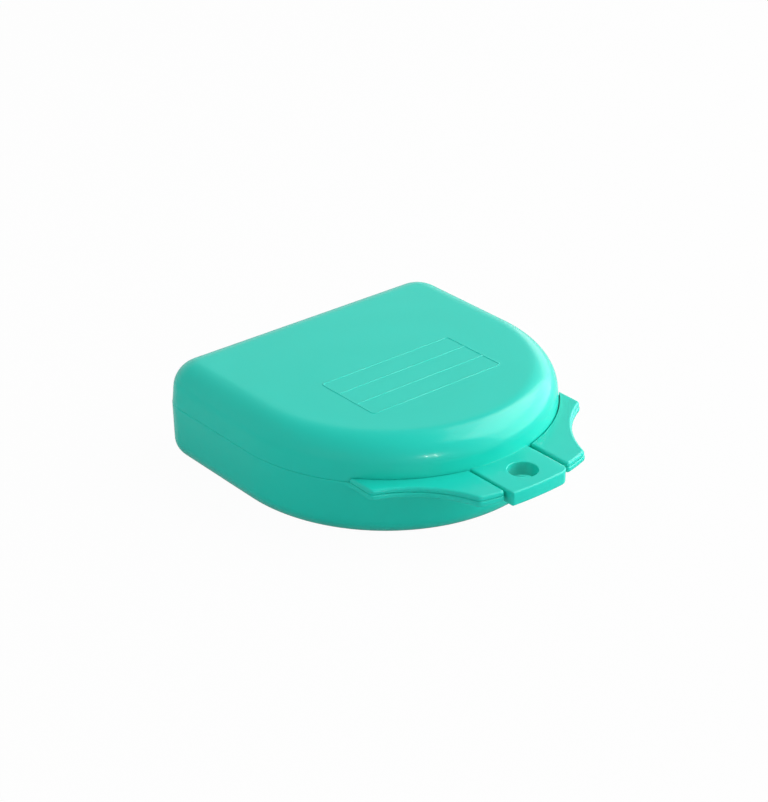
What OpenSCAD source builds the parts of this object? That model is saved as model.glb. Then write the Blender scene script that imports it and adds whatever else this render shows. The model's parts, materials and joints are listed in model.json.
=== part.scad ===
/* [Box] */
// Width across the straight sides, which is twice the radius of the round front
body_w = 78; // [68:0.5:96]
// Depth from the flat back to the round front, without tab and hinge
body_d = 72; // [66:0.5:92]
// Radius of the two back corners, seen from above
corner_r = 8; // [7.5:0.5:12]
// Wall thickness of base and lid
wall = 1.6; // [1.4:0.1:2.4]

/* [Base] */
// Height from the underside to the parting plane
base_h = 13.4; // [10:0.1:30]
// Lean of the wall, in degrees
base_draft = 1.2; // [0.5:0.1:3]
// Radius of the lower edge
base_round = 4.3; // [3:0.1:6]
// Height of the lip that stands up inside the lid's rim
lip_h = 1.5; // [1:0.1:2.5]
// Thickness of that lip
lip_t = 0.7; // [0.5:0.05:0.8]
// Clearance round the lip
lip_gap = 0.15; // [0.1:0.05:0.2]
// Lead-in chamfer at the lip's top
lip_chamfer = 0.3; // [0.1:0.05:0.4]

/* [Lid] */
// Height from the parting plane to the top
lid_h = 9.4; // [9:0.1:20]
// Lean of the wall, in degrees
lid_draft = 5.4; // [1:0.1:6]
// Radius of the upper edge
lid_round = 6.4; // [3:0.1:6.5]

/* [Grip wings] */
// Distance over the outer edges of both wings
grip_w = 61; // [50:0.5:64]
// Reach of the wings' horns, beside the tab, beyond the front wall
grip_reach = 11.3; // [9:0.1:14]
// Thickness of a wing
grip_t = 2.4; // [1.4:0.1:2.6]
// Height of the wings' and the tab's top face above the parting plane
flange_rise = 1.05; // [0.8:0.05:1.4]
// Gap between a wing and the lid's wall
grip_gap = 0.3; // [0.2:0.05:0.6]
// Direction of the finger scoop, in degrees from straight ahead
scoop_angle = 35; // [32:0.5:38]
// Radius of the finger scoop
scoop_r = 25; // [16:0.5:30]
// Least reach of a wing beyond the wall, at the deepest point of the scoop
scoop_waist = 3.6; // [3:0.1:6]
// Radius of a wing's corners, seen from above
grip_corner = 0.9; // [0.5:0.1:1.2]

/* [Latch tab] */
// Width of the tab
tab_w = 16; // [13:0.1:18.4]
// Reach of the tab beyond the front wall
tab_reach = 12.4; // [10:0.1:15]
// Thickness of the tab
tab_t = 3.3; // [3.2:0.1:5]
// Gap between the tab and each wing
tab_gap = 0.7; // [0.5:0.1:2]
// Radius of the tab's front corners, seen from above
tab_corner = 1.5; // [0.5:0.1:2]
// Radius of the hollow between the tab's top and the lid's wall
tab_blend = 0.8; // [0.6:0.1:2.4]
// Gap between the tab and the base's wall
catch_gap = 0.75; // [0.7:0.05:1]
// Width of the catch
catch_w = 12; // [6:0.5:13]
// Radius of the catch's bead and ridge
catch_r = 0.5; // [0.4:0.05:0.6]
// Distance between bead and ridge when the lid is shut
catch_play = 0.35; // [0.2:0.05:0.5]
// Diameter of the lanyard hole
hole_d = 6.6; // [4:0.1:7.2]
// Rounding of the lanyard hole's rims
hole_rim = 0.35; // [0.1:0.05:0.5]
// Width of the tab in front of the lanyard hole
hole_margin = 3.1; // [2:0.1:4]

/* [Hinge] */
// Radius of the barrel and of the ears
barrel_r = 2.3; // [1.8:0.05:2.8]
// Length of the barrel
barrel_w = 36; // [20:0.5:44]
// Running gap between the barrel or an ear and the other moulding's wall
barrel_gap = 0.3; // [0.2:0.05:0.5]
// Slope of the webs that carry barrel and ears, in degrees
web_slope = 20; // [5:1:25]
// Width of an ear
ear_w = 3; // [2.4:0.1:4]
// Gap between the barrel's end and an ear
ear_gap = 0.3; // [0.2:0.05:0.5]
// Radius of the stub pins
pin_r = 1.2; // [0.9:0.05:1.4]
// Radial clearance of the stub pins in the ears
pin_gap = 0.05; // [0.02:0.01:0.1]
// Depth to which a stub pin enters its ear
pin_depth = 2.2; // [1:0.1:2.6]
// Lead-in chamfer at the stub pin's tip
pin_chamfer = 0.4; // [0.2:0.1:0.5]

/* [Name field] */
// Width of the raised outline on the lid
field_w = 37; // [24:0.5:44]
// Depth of the raised outline
field_d = 18.2; // [12:0.2:24]
// Distance from the centre of the round front to the centre of the outline
field_y = 9.1; // [4:0.1:12]
// Corner radius of the outline
field_r = 1; // [1:0.1:4]
// Width of a raised line
line_w = 0.5; // [0.4:0.05:0.8]
// Height of a raised line
line_h = 0.2; // [0.15:0.01:0.3]
// Number of ruled lines inside the outline
line_count = 2; // [1:1:3]

/* [Hidden] */
$fn = 96;
shell_color = [0.31, 0.84, 0.77];
base_color = [0.18, 0.66, 0.6];
trim_color = [0.25, 0.8, 0.72];

front_r = body_w / 2;
horn_r = front_r + grip_reach;
tab_r = front_r + tab_reach;
hinge_off = barrel_r + barrel_gap;
// The whole outline, from the tab's edge to the hinge's back, is centred on y = 0
arc_y = (body_w + tab_reach - body_d - hinge_off - barrel_r) / 2;
back_y = arc_y + body_d - front_r;
corner_y = back_y - corner_r;
corner_x = front_r - corner_r;
hinge_y = back_y + hinge_off;
rim_z = base_h;
top_z = base_h + lid_h;
flange_z = rim_z + flange_rise;
tab_z = flange_z - tab_t;
bead_z = tab_z + catch_r;
ridge_z = bead_z + sqrt(pow(2 * catch_r + catch_play, 2) - pow(catch_gap, 2));
hole_y = arc_y - tab_r + hole_margin + hole_d / 2;
// Thickness of the lid's skin outside the lip
skin_t = wall - lip_t - lip_gap;
lip_room = lip_h + 2 * lip_gap;
ear_x = barrel_w / 2 + ear_gap;
// More than any radius here, for cuts that run right through
far = body_w + body_d;
// Depth by which a round edge cuts into the wall that it ends, so that their lines cross
nick = 0.001;
// Length by which a cutting shape runs past what it cuts
lap = 1;

// Section of a shell's outside that stands on the line y = 0. The wall's foot is at x = 0 and the
// inside at negative x; the wall leans in by draft and turns into the flat end in a round edge.
module profile(h, draft, edge_r) {
    edge = [-(edge_r + (h - edge_r) * sin(draft)) / cos(draft), h - edge_r];
    polygon([
        [-far, 0],
        [0, 0],
        edge + (edge_r - nick) * [cos(draft), sin(draft)],
        edge,
        [edge.x, h],
        [-far, h]
    ]);
    translate(edge)
        intersection() {
            circle(edge_r);
            translate([0, -edge.y / 2])
                square([edge_r, edge_r + edge.y / 2]);
        }
}

// Outside of the lid, above the parting plane
module lid_profile() {
    translate([0, rim_z])
        profile(lid_h, lid_draft, lid_round);
}

// Outside of the base, below the parting plane
module base_profile() {
    translate([0, rim_z])
        mirror([0, 1])
            profile(base_h, base_draft, base_round);
}

// Section of the lid's wall and top, rebated at the rim for the base's lip
module lid_wall() {
    difference() {
        lid_profile();
        translate([-wall / cos(lid_draft), rim_z])
            profile(lid_h - wall, lid_draft, lid_round - wall);
        translate([-skin_t - far, rim_z])
            square([far, lip_room]);
    }
}

// Section of the base's wall and floor, with the lip that enters the lid
module base_wall() {
    inner_x = -wall / cos(base_draft);
    difference() {
        base_profile();
        translate([inner_x, rim_z])
            mirror([0, 1])
                profile(base_h - wall, base_draft, base_round - wall);
    }
    translate([inner_x, rim_z])
        polygon([
            [0, 0],
            [lip_t, 0],
            [lip_t, lip_h - lip_chamfer],
            [lip_t - lip_chamfer, lip_h],
            [0, lip_h]
        ]);
}

// Carries a section round the plan: round front, straight sides, two corners, flat back.
// The section is the child, drawn with the outline at x = 0 and the inside at negative x.
module round_plan() {
    translate([0, arc_y, 0])
        rotate_extrude(start = 180, angle = 180)
            at_reach(front_r) children();
    for (side = [0, 1])
        mirror([side, 0, 0]) {
            translate([0, corner_y, 0])
                rotate([90, 0, 0])
                    linear_extrude(corner_y - arc_y)
                        at_reach(front_r) children();
            translate([corner_x, corner_y, 0])
                rotate_extrude(start = 0, angle = 90)
                    at_reach(corner_r) children();
        }
    translate([-corner_x, corner_y, 0])
        along_x(2 * corner_x)
            at_reach(corner_r) children();
}

// Moves a section out to its reach and cuts it off at the axis
module at_reach(reach) {
    intersection() {
        translate([reach, 0])
            children();
        translate([0, -far / 2])
            square(far);
    }
}

// Extrudes a section drawn in y and z along x
module along_x(length) {
    rotate([90, 0, 90])
        linear_extrude(length)
            children();
}

// Turns a section about the centre of the round front
module round_front() {
    translate([0, arc_y, 0])
        rotate_extrude()
            at_reach(front_r) children();
}

module base_tray() {
    color(base_color)
        round_plan()
            base_wall();
}

module lid_shell() {
    color(shell_color)
        round_plan()
            lid_wall();
}

// Outline of the right wing: outer edge concentric with the front wall, with the finger scoop
// cut out of it, and straight edges beside the tab and at the side
module wing_outline() {
    inner_x = tab_w / 2 + tab_gap;
    scoop_dist = front_r + scoop_waist + scoop_r;
    offset(r = grip_corner)
        offset(delta = -grip_corner)
            difference() {
                intersection() {
                    circle(horn_r);
                    translate([inner_x, -far])
                        square([grip_w / 2 - inner_x, far]);
                }
                circle(front_r - 2 * wall);
                translate(scoop_dist * [sin(scoop_angle), -cos(scoop_angle)])
                    circle(scoop_r);
            }
}

// Section of what a wing keeps clear of: the base's wall, and the lid's wall with its gap
module wing_room() {
    base_profile();
    translate([-far, rim_z])
        square([far + grip_gap, far]);
}

module grip_wing() {
    difference() {
        translate([0, arc_y, flange_z - grip_t])
            linear_extrude(grip_t)
                wing_outline();
        round_front()
            wing_room();
    }
}

module right_grip_wing() {
    color(trim_color)
        grip_wing();
}

module left_grip_wing() {
    color(trim_color)
        mirror([1, 0, 0])
            grip_wing();
}

// Outline of the tab: straight sides, front edge concentric with the wall, two round corners
module tab_outline() {
    bend_x = tab_w / 2 - tab_corner;
    bend_y = -sqrt(pow(tab_r - tab_corner, 2) - pow(bend_x, 2));
    intersection() {
        circle(tab_r);
        polygon([[0, 0], 2 * [-bend_x, bend_y], 2 * [bend_x, bend_y]]);
    }
    translate([-tab_w / 2, bend_y])
        square([tab_w, -bend_y]);
    for (x = [-bend_x, bend_x])
        translate([x, bend_y])
            circle(tab_corner);
}

// Section of the tab, with the hollow that runs up the lid's wall; its back clears the base's
// wall below the parting plane
module tab_section() {
    hollow_h = flange_rise + tab_blend;
    hollow = [(tab_blend - hollow_h * sin(lid_draft)) / cos(lid_draft), hollow_h];
    translate([0, rim_z])
        difference() {
            polygon([
                [0, 0],
                [catch_gap, 0],
                [catch_gap, flange_rise - tab_t],
                [tab_reach + tab_corner, flange_rise - tab_t],
                [tab_reach + tab_corner, flange_rise],
                [hollow.x, flange_rise],
                hollow,
                hollow - (tab_blend - nick) * [cos(lid_draft), sin(lid_draft)]
            ]);
            translate(hollow)
                circle(tab_blend);
        }
}

// Half section of the lanyard hole, with a rounded rim at both ends
module hole_section() {
    hole_r = hole_d / 2;
    translate([0, -lap])
        square([hole_r, tab_t + 2 * lap]);
    for (end = [0, 1])
        translate([0, end * tab_t])
            mirror([0, end])
                difference() {
                    translate([hole_r - hole_rim, -hole_rim])
                        square(2 * hole_rim);
                    translate([hole_r + hole_rim, hole_rim])
                        circle(hole_rim);
                }
}

module latch_tab() {
    color(shell_color)
        difference() {
            intersection() {
                round_front()
                    tab_section();
                translate([0, arc_y, tab_z - lap])
                    linear_extrude(top_z - tab_z + 2 * lap)
                        tab_outline();
            }
            translate([0, hole_y, tab_z])
                rotate_extrude()
                    hole_section();
        }
}

// A bead of the catch: a ring about the front's centre, cut to the catch's width
module catch_ring(ring_r, ring_z) {
    half_angle = asin(catch_w / 2 / ring_r);
    translate([0, arc_y, ring_z])
        rotate_extrude(start = -90 - half_angle, angle = 2 * half_angle)
            translate([ring_r, 0])
                circle(catch_r);
}

// Ridge on the base's front wall, under the tab; it ends at the parting plane
module catch_ridge() {
    color(trim_color)
        difference() {
            catch_ring(front_r, ridge_z);
            round_front()
                base_profile();
            translate([-far / 2, -far, rim_z])
                cube(far);
        }
}

// Bead on the back of the tab, which snaps below the ridge
module catch_bead() {
    color(trim_color)
        difference() {
            catch_ring(front_r + catch_gap, bead_z);
            round_front()
                tab_section();
        }
}

// Section of a hinge knuckle in y and z: a round boss and a web that runs into the back wall
module knuckle(up) {
    web_y = hinge_off + wall;
    translate([hinge_y, rim_z])
        mirror([0, up ? 0 : 1]) {
            circle(barrel_r);
            polygon([
                [0, 0],
                barrel_r * [sin(web_slope), cos(web_slope)],
                [-web_y, (barrel_r + web_y * sin(web_slope)) / cos(web_slope)],
                [-web_y, 0]
            ]);
        }
}

module hinge_barrel() {
    color(shell_color)
        translate([-barrel_w / 2, 0, 0])
            along_x(barrel_w)
                difference() {
                    knuckle(up = true);
                    translate([back_y, 0])
                        lid_profile();
                }
}

module hinge_ear() {
    translate([ear_x, 0, 0])
        along_x(ear_w)
            difference() {
                knuckle(up = false);
                translate([back_y, 0])
                    base_profile();
                translate([hinge_y, rim_z])
                    circle(pin_r + pin_gap);
            }
}

module right_hinge_ear() {
    color(base_color)
        hinge_ear();
}

module left_hinge_ear() {
    color(base_color)
        mirror([1, 0, 0])
            hinge_ear();
}

module hinge_pin() {
    pin_l = ear_gap + pin_depth;
    translate([barrel_w / 2, hinge_y, rim_z])
        rotate([0, 90, 0])
            rotate_extrude()
                polygon([
                    [0, 0],
                    [pin_r, 0],
                    [pin_r, pin_l - pin_chamfer],
                    [pin_r - pin_chamfer, pin_l],
                    [0, pin_l]
                ]);
}

module right_hinge_pin() {
    color(trim_color)
        hinge_pin();
}

module left_hinge_pin() {
    color(trim_color)
        mirror([1, 0, 0])
            hinge_pin();
}

module rounded_field(w, d, r) {
    square([w - 2 * r, d], center = true);
    square([w, d - 2 * r], center = true);
    for (x = [-1, 1], y = [-1, 1])
        translate([x * (w / 2 - r), y * (d / 2 - r)])
            circle(r);
}

// Raised outline with ruled lines, as a plain place for a name
module name_field() {
    color(shell_color)
        translate([0, arc_y - field_y, top_z])
            linear_extrude(line_h) {
                difference() {
                    rounded_field(field_w, field_d, field_r);
                    rounded_field(field_w - 2 * line_w, field_d - 2 * line_w, field_r - line_w);
                }
                for (i = [1 : line_count])
                    translate([0, field_d * (i / (line_count + 1) - 0.5)])
                        square([field_w - line_w, line_w], center = true);
            }
}

base_tray();
left_grip_wing();
right_grip_wing();
left_hinge_ear();
right_hinge_ear();
catch_ridge();
lid_shell();
latch_tab();
catch_bead();
hinge_barrel();
left_hinge_pin();
right_hinge_pin();
name_field();
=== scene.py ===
"""Dental appliance box: a shallow case of two mint green mouldings that snap together.

The base tray carries two grip wings, a lip, two hinge ears and a catch ridge. The lid carries the
latch tab with its lanyard hole, a catch bead, the hinge barrel with two stub pins and a raised
field for a name. Sizes that the packed model knows are read from it; the rest are properties.
"""

import json
from math import asin, atan2, cos, hypot, pi, radians, sin, sqrt

import bmesh
import bpy
from bpy.props import FloatProperty, FloatVectorProperty, IntProperty, PointerProperty
from bpy.types import Operator, Panel, PropertyGroup
from mathutils import Matrix, Vector


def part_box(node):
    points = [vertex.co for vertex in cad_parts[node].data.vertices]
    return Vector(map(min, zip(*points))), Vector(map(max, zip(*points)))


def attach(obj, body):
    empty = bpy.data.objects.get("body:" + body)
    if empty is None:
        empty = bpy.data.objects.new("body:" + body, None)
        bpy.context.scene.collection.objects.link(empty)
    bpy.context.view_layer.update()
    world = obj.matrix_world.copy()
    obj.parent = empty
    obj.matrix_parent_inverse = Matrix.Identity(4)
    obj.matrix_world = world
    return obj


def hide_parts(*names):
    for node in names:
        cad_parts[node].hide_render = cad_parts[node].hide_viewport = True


bl_info = {
    "name": "Dental appliance box",
    "version": (1, 0, 0),
    "blender": (4, 5, 0),
    "location": "3D View > Sidebar > Appliance Box",
    "description": "Builds a hinged snap-shut box of moulded plastic around its packed model",
    "category": "Object",
}

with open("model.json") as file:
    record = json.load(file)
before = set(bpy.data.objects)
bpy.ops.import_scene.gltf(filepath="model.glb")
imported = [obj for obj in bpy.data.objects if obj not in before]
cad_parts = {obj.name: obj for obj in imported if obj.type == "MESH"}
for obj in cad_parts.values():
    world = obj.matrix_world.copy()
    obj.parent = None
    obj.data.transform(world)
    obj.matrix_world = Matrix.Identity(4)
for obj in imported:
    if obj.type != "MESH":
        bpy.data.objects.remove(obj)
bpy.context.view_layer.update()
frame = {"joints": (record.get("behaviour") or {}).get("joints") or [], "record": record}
MM = 0.001
IMAGE_LONG_SIDE = 802

TRAY_LOW, TRAY_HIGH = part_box("base_tray")
LID_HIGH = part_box("lid_shell")[1]
TAB_LOW, TAB_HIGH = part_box("latch_tab")
WING_LOW, WING_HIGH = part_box("right_grip_wing")
BARREL_LOW, BARREL_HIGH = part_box("hinge_barrel")
PIN_LOW, PIN_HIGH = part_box("right_hinge_pin")
HINGE = Vector(frame["joints"][0]["pos_m"])
HOLE = next(m for m in frame["record"]["mounts"] if m["name"] == "lanyard_hole")
PARTING_Z = HINGE.z
BACK_Y = TRAY_HIGH.y
FRONT_R = (TRAY_HIGH.x - TRAY_LOW.x) / 2
ARC_Y = TRAY_LOW.y + FRONT_R

MATERIAL = "mint moulded plastic"
WELD = 2e-7  # points nearer than this are one
SHARP_ANGLE = radians(38)
LAP = 1 * MM  # reach of a cutter past what it cuts
FLAT_RING = 0.4 * MM  # width of the flat in which a shell's section ends
EDGE_STEPS = 5
SMALL_STEPS = 3
HINGE_STEPS = 64


def length(name, description, default):
    """A property that holds a length in metres."""
    return FloatProperty(name=name, description=description, default=default, min=0, precision=5,
                         unit="LENGTH", subtype="DISTANCE")


def angle(name, description, default):
    """A property that holds an angle, with its default in degrees."""
    return FloatProperty(name=name, description=description, default=radians(default),
                         unit="ROTATION", subtype="ANGLE")


def share(name, description, default):
    """A property that holds a factor from 0 to 1."""
    return FloatProperty(name=name, description=description, default=default, min=0, max=1,
                         subtype="FACTOR")


def plain(name, description, default):
    """A property that holds a number without a unit, from 0 up."""
    return FloatProperty(name=name, description=description, default=default, min=0,
                         subtype="UNSIGNED")


def whole(name, description, default, least):
    """A property that holds a whole number."""
    return IntProperty(name=name, description=description, default=default, min=least,
                       subtype="UNSIGNED")


def colour(name, description, default):
    """A property that holds a linear colour."""
    return FloatVectorProperty(name=name, description=description, default=default, min=0, max=1,
                               size=3, subtype="COLOR")


class ShellSizes(PropertyGroup):
    """Sizes of the two shells"""

    width: length("Width", "Width across the straight sides", 2 * FRONT_R)
    depth: length("Depth", "Depth from back to front", BACK_Y - TRAY_LOW.y)
    back_corner: length("Back corner", "Radius of the two back corners", 8 * MM)
    wall: length("Wall", "Wall thickness of both shells", 1.6 * MM)
    base_height: length("Base height", "Height below the parting plane", PARTING_Z - TRAY_LOW.z)
    base_draft: angle("Base draft", "Lean of the base's wall", 1.2)
    base_round: length("Base round", "Radius of the base's lower edge", 4.3 * MM)
    lid_height: length("Lid height", "Height above the parting plane", LID_HIGH.z - PARTING_Z)
    lid_draft: angle("Lid draft", "Lean of the lid's wall", 5.4)
    lid_round: length("Lid round", "Radius of the lid's upper edge", 6.4 * MM)
    lip_height: length("Lip height", "Height of the lip inside the lid's rim", TRAY_HIGH.z - PARTING_Z)
    lip: length("Lip", "Thickness of the lip", 0.7 * MM)
    lip_gap: length("Lip gap", "Clearance round the lip", 0.15 * MM)
    base_rim: length("Base rim", "Rounding of the base's outer rim", 0.36 * MM)
    lid_rim: length("Lid rim", "Rounding of the lid's outer rim", 0.12 * MM)
    lid_step: length("Lid step", "How far the lid's foot stays behind the base's rim", 0.08 * MM)
    soft: length("Softening", "Rounding of the small edges inside", 0.12 * MM)
    front_steps: whole("Front steps", "Points on each half of the round front", 96, 8)
    corner_steps: whole("Corner steps", "Points on each back corner", 18, 3)


class FrontSizes(PropertyGroup):
    """Sizes of the wings, the tab and the catch"""

    wing_edge: length("Wing edge", "Rounding of a wing's upper edge", 0.6 * MM)
    wing_step: length("Wing step", "How far a wing's pad stays behind its ledge", 0.16 * MM)
    wing_groove: length("Wing groove", "Depth of the groove between pad and ledge", 0.2 * MM)
    groove_width: length("Groove width", "Width of that groove", 0.13 * MM)
    ledge_edge: length("Ledge edge", "Rounding of the ledge's edges", 0.42 * MM)
    ledge_flare: length("Ledge flare", "Radius with which the ledge runs out into the wall", 4 * MM)
    wing_reach: length("Wing reach", "Reach of the wings' horns beyond the wall", 11.3 * MM)
    wing_corner: length("Wing corner", "Radius of a wing's corners", 1.4 * MM)
    wing_heel: length("Wing heel", "Radius of a wing's corner beside the tab", 0.95 * MM)
    wing_gap: length("Wing gap", "Gap between a wing and the lid's foot", 0.13 * MM)
    wing_sink: length("Wing sink", "Depth to which a wing runs into the base's wall", 1.1 * MM)
    left_angle: angle("Left scoop angle", "Direction of the left finger scoop", 35.1)
    left_radius: length("Left scoop radius", "Radius of the left finger scoop", 25 * MM)
    right_angle: angle("Right scoop angle", "Direction of the right finger scoop", 37)
    right_radius: length("Right scoop radius", "Radius of the right finger scoop", 28 * MM)
    left_side: length("Left side", "How far out the left wing's side stands", 30.5 * MM)
    right_side: length("Right side", "How far out the right wing's side stands", 31 * MM)
    scoop_waist: length("Scoop waist", "Reach of a wing at the scoop's deepest point", 3.65 * MM)
    tab_bow: length("Tab bow", "Radius of the tab's front edge", 85 * MM)
    tab_edge: length("Tab edge", "Rounding of the tab's edges", 0.4 * MM)
    left_corner: length("Left corner", "Radius of the tab's left corner", 0.45 * MM)
    right_corner: length("Right corner", "Radius of the tab's right corner", 2.5 * MM)
    tab_blend: length("Tab blend", "Radius of the hollow between the tab and the lid's wall", 0.06 * MM)
    left_grow: length("Left growth", "How far the tab's left side stands out of the CAD", 0.35 * MM)
    catch_gap: length("Catch gap", "Gap between the tab and the base's wall", 0.75 * MM)
    hole_rim: length("Hole rim", "Rounding of the lanyard hole's rims", 0.22 * MM)


class HingeSizes(PropertyGroup):
    """Sizes of the hinge"""

    web_slope: angle("Web slope", "Slope of the webs that carry barrel and ears", 20)
    sink: length("Sink", "Depth to which a web runs into its wall", 0.5 * MM)
    edge: length("Edge", "Rounding of the barrel's and the ears' ends", 0.2 * MM)
    pin_gap: length("Pin gap", "Radial clearance of the stub pins", 0.05 * MM)
    pin_chamfer: length("Pin chamfer", "Lead-in chamfer at a pin's tip", 0.4 * MM)


class FieldSizes(PropertyGroup):
    """Sizes of the name field and of the marks that the mould leaves"""

    corner: length("Corner", "Corner radius of the raised outline", 1 * MM)
    line: length("Line", "Width of a raised line", 0.5 * MM)
    height: length("Height", "Height of a raised line", 0.11 * MM)
    lines: whole("Ruled lines", "Number of ruled lines inside the outline", 2, 1)
    mark: length("Mark", "Radius of an ejector mark", 2 * MM)
    mark_height: length("Mark height", "Height of an ejector mark", 0.06 * MM)
    mark_columns: length("Mark columns", "Distance between marks from left to right", 36 * MM)
    mark_rows: length("Mark rows", "Distance between marks from front to back", 32 * MM)


class PlasticLook(PropertyGroup):
    """Colour and gloss of the moulded plastic"""

    tint: colour("Tint", "Colour of the plastic", (0.011, 0.6, 0.48))
    pale: colour("Pale tint", "Colour of the plastic where it has flowed thin", (0.015, 0.63, 0.51))
    gloss: share("Gloss", "Mean roughness of the skin", 0.22)
    glow: share("Glow", "Share of the light that passes through the skin", 0.12)


class StudioSetup(PropertyGroup):
    """Camera, lamps and background"""

    azimuth: angle("Azimuth", "Direction of the camera from straight ahead", -39.771)
    elevation: angle("Elevation", "Height of the camera above the horizon", 27.593)
    distance: length("Distance", "Distance of the camera from the aim", 482.62 * MM)
    pixels_per_mm: plain("Scale", "Pixels for a millimetre at the aim", 4.429)
    shift_right: plain("Shift right", "Aim's distance left of the middle, in pixels", 7.705)
    shift_up: plain("Shift up", "Aim's distance above the middle, in pixels", 8.035)
    aim_height: length("Aim height", "Height of the camera's aim", 13.2 * MM)
    aim_back: length("Aim back", "Distance of the aim behind the front's centre", 3.14 * MM)
    sky: plain("Sky", "Strength of the light from the horizon", 0.65)
    zenith: plain("Zenith", "Strength of the light from straight above", 0.02)
    shadow: share("Shadow", "Depth of the shadow that the camera sees on the floor", 0.03)
    mirrored_shadow: share("Mirrored shadow", "Depth of the floor's shadow in the box's own gloss", 0.8)


GROUPS = {
    "box_shells": ShellSizes,
    "box_front": FrontSizes,
    "box_hinge": HingeSizes,
    "box_field": FieldSizes,
    "box_plastic": PlasticLook,
    "box_studio": StudioSetup,
}


def arc(centre, radius, start, end, steps):
    """Points on a circle from the angle start to the angle end, in radians, both included."""
    turn = (end - start) / steps
    return [
        (centre[0] + radius * cos(start + i * turn), centre[1] + radius * sin(start + i * turn))
        for i in range(steps + 1)
    ]


def held(points, closed=False, near=0.12 * MM, least=0.6 * MM):
    """The line with a point close to each end of its long stretches, so that they shade flat."""
    count = len(points)
    made = []
    for i, a in enumerate(points):
        made.append(a)
        if i == count - 1 and not closed:
            break
        b = points[(i + 1) % count]
        far = hypot(b[0] - a[0], b[1] - a[1])
        if far > least:
            t = near / far
            for u in (t, 1 - t):
                made.append((a[0] + (b[0] - a[0]) * u, a[1] + (b[1] - a[1]) * u))
    return made


def inset(points, distance):
    """A closed counter-clockwise outline moved inwards, with its corners mitred."""
    made = []
    count = len(points)
    for i, p in enumerate(points):
        a = Vector(points[i - 1])
        b = Vector(points[(i + 1) % count])
        p = Vector(p)
        u = (p - a).normalized()
        v = (b - p).normalized()
        m = Vector((-u.y, u.x))
        n = Vector((-v.y, v.x))
        made.append(tuple(p + (m + n) * distance / (1 + m.dot(n))))
    return made


def front_point(x, radius):
    """The point at x on the front half of a circle about (0, 0)."""
    return (x, -sqrt(radius ** 2 - x ** 2))


def circles_meet(r1, centre, r2):
    """The point where a circle about (0, 0) meets another, on the right of the way to it."""
    d = centre.length
    along = (d * d + r1 * r1 - r2 * r2) / (2 * d)
    off = sqrt(r1 * r1 - along * along)
    u = centre / d
    return u * along + Vector((u.y, -u.x)) * off


def turn_of(centre, point):
    """Angle of a point about a centre, in radians."""
    return atan2(point[1] - centre[1], point[0] - centre[0])


def stand(name, data):
    """A new object that stands in the scene."""
    thing = bpy.data.objects.new(name, data)
    bpy.context.scene.collection.objects.link(thing)
    return thing


def moulding(node, mesh, body):
    """Turns a finished mesh into the piece that stands for that node."""
    link_piece(node + "_moulding", mesh, body, node)


def link_piece(name, mesh, body, *nodes):
    """Turns a finished mesh into a piece that rides on its body and stands for its nodes."""
    piece = stand(name, mesh)
    if not mesh.materials:
        mesh.materials.append(plastic())
    mesh.polygons.foreach_set("use_smooth", [True] * len(mesh.polygons))
    mesh.set_sharp_from_angle(angle=SHARP_ANGLE)
    mesh.update()
    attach(piece, body)
    if nodes:
        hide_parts(*nodes)


def close_up(bm):
    """Merges what coincides and turns every face outwards."""
    bmesh.ops.remove_doubles(bm, verts=bm.verts, dist=WELD)
    bmesh.ops.dissolve_degenerate(bm, edges=bm.edges, dist=WELD)
    bmesh.ops.recalc_face_normals(bm, faces=bm.faces)


def mesh_of(bm, name):
    """Ends a bmesh as a mesh, just as it is."""
    mesh = bpy.data.meshes.new(name)
    bm.to_mesh(mesh)
    bm.free()
    return mesh


def mesh_from(bm, name):
    """Ends a bmesh as a closed mesh with its faces outwards."""
    close_up(bm)
    return mesh_of(bm, name)


def loft(bm, rings):
    """Joins closed rings of equally many points with quads, and closes both ends."""
    made = [[bm.verts.new(p) for p in ring] for ring in rings]
    for low, high in zip(made, made[1:]):
        for i in range(len(low)):
            j = (i + 1) % len(low)
            bm.faces.new((low[i], low[j], high[j], high[i]))
    bm.faces.new(made[0][::-1])
    bm.faces.new(made[-1])


def edge_rings(low, high, low_edge, high_edge, back=0.0, hold=0.1 * MM):
    """Insets and heights of a plate with rounded edges, which stays behind its outline by back."""
    quarter = [i * pi / 2 / EDGE_STEPS for i in range(EDGE_STEPS + 1)]
    lower = [(back + low_edge * (1 - sin(a)), low + low_edge * (1 - cos(a))) for a in quarter]
    upper = [(back + high_edge * (1 - sin(a)), high - high_edge * (1 - cos(a)))
             for a in reversed(quarter)]
    return (
        [(lower[0][0] + hold, low)] + lower + [(back, low + low_edge + hold)]
        + [(back, high - high_edge - hold)] + upper + [(upper[-1][0] + hold, high)]
    )


def plate(outline, rings, place):
    """A plate from an outline and its rings; place turns (u, v, height) into a point."""
    bm = bmesh.new()
    loft(bm, [[place(u, v, z) for u, v in inset(outline, i)] for i, z in rings])
    return bm


def lathe(profile, place, steps=96):
    """A turned solid; the profile runs from one end of the axis to the other as (radius, height)."""
    bm = bmesh.new()
    rings = []
    for r, z in profile:
        rings.append([place(r * cos(2 * pi * i / steps), r * sin(2 * pi * i / steps), z)
                      for i in range(steps)])
    loft(bm, rings)
    return bm


def carve(mesh, cutter):
    """Cuts one solid out of another and returns the mesh that is left."""
    body = stand("carved", mesh)
    tool = stand("cutter", cutter)
    cut = body.modifiers.new("cut", "BOOLEAN")
    cut.operation = "DIFFERENCE"
    cut.solver = "EXACT"
    cut.object = tool
    made = evaluated_mesh(body)
    for thing in (body, tool):
        bpy.data.objects.remove(thing)
    return made


def joined(meshes, name):
    """One mesh that holds several."""
    bm = bmesh.new()
    for mesh in meshes:
        bm.from_mesh(mesh)
    made = mesh_of(bm, name)
    for material in meshes[0].materials:
        made.materials.append(material)
    return made


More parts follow.
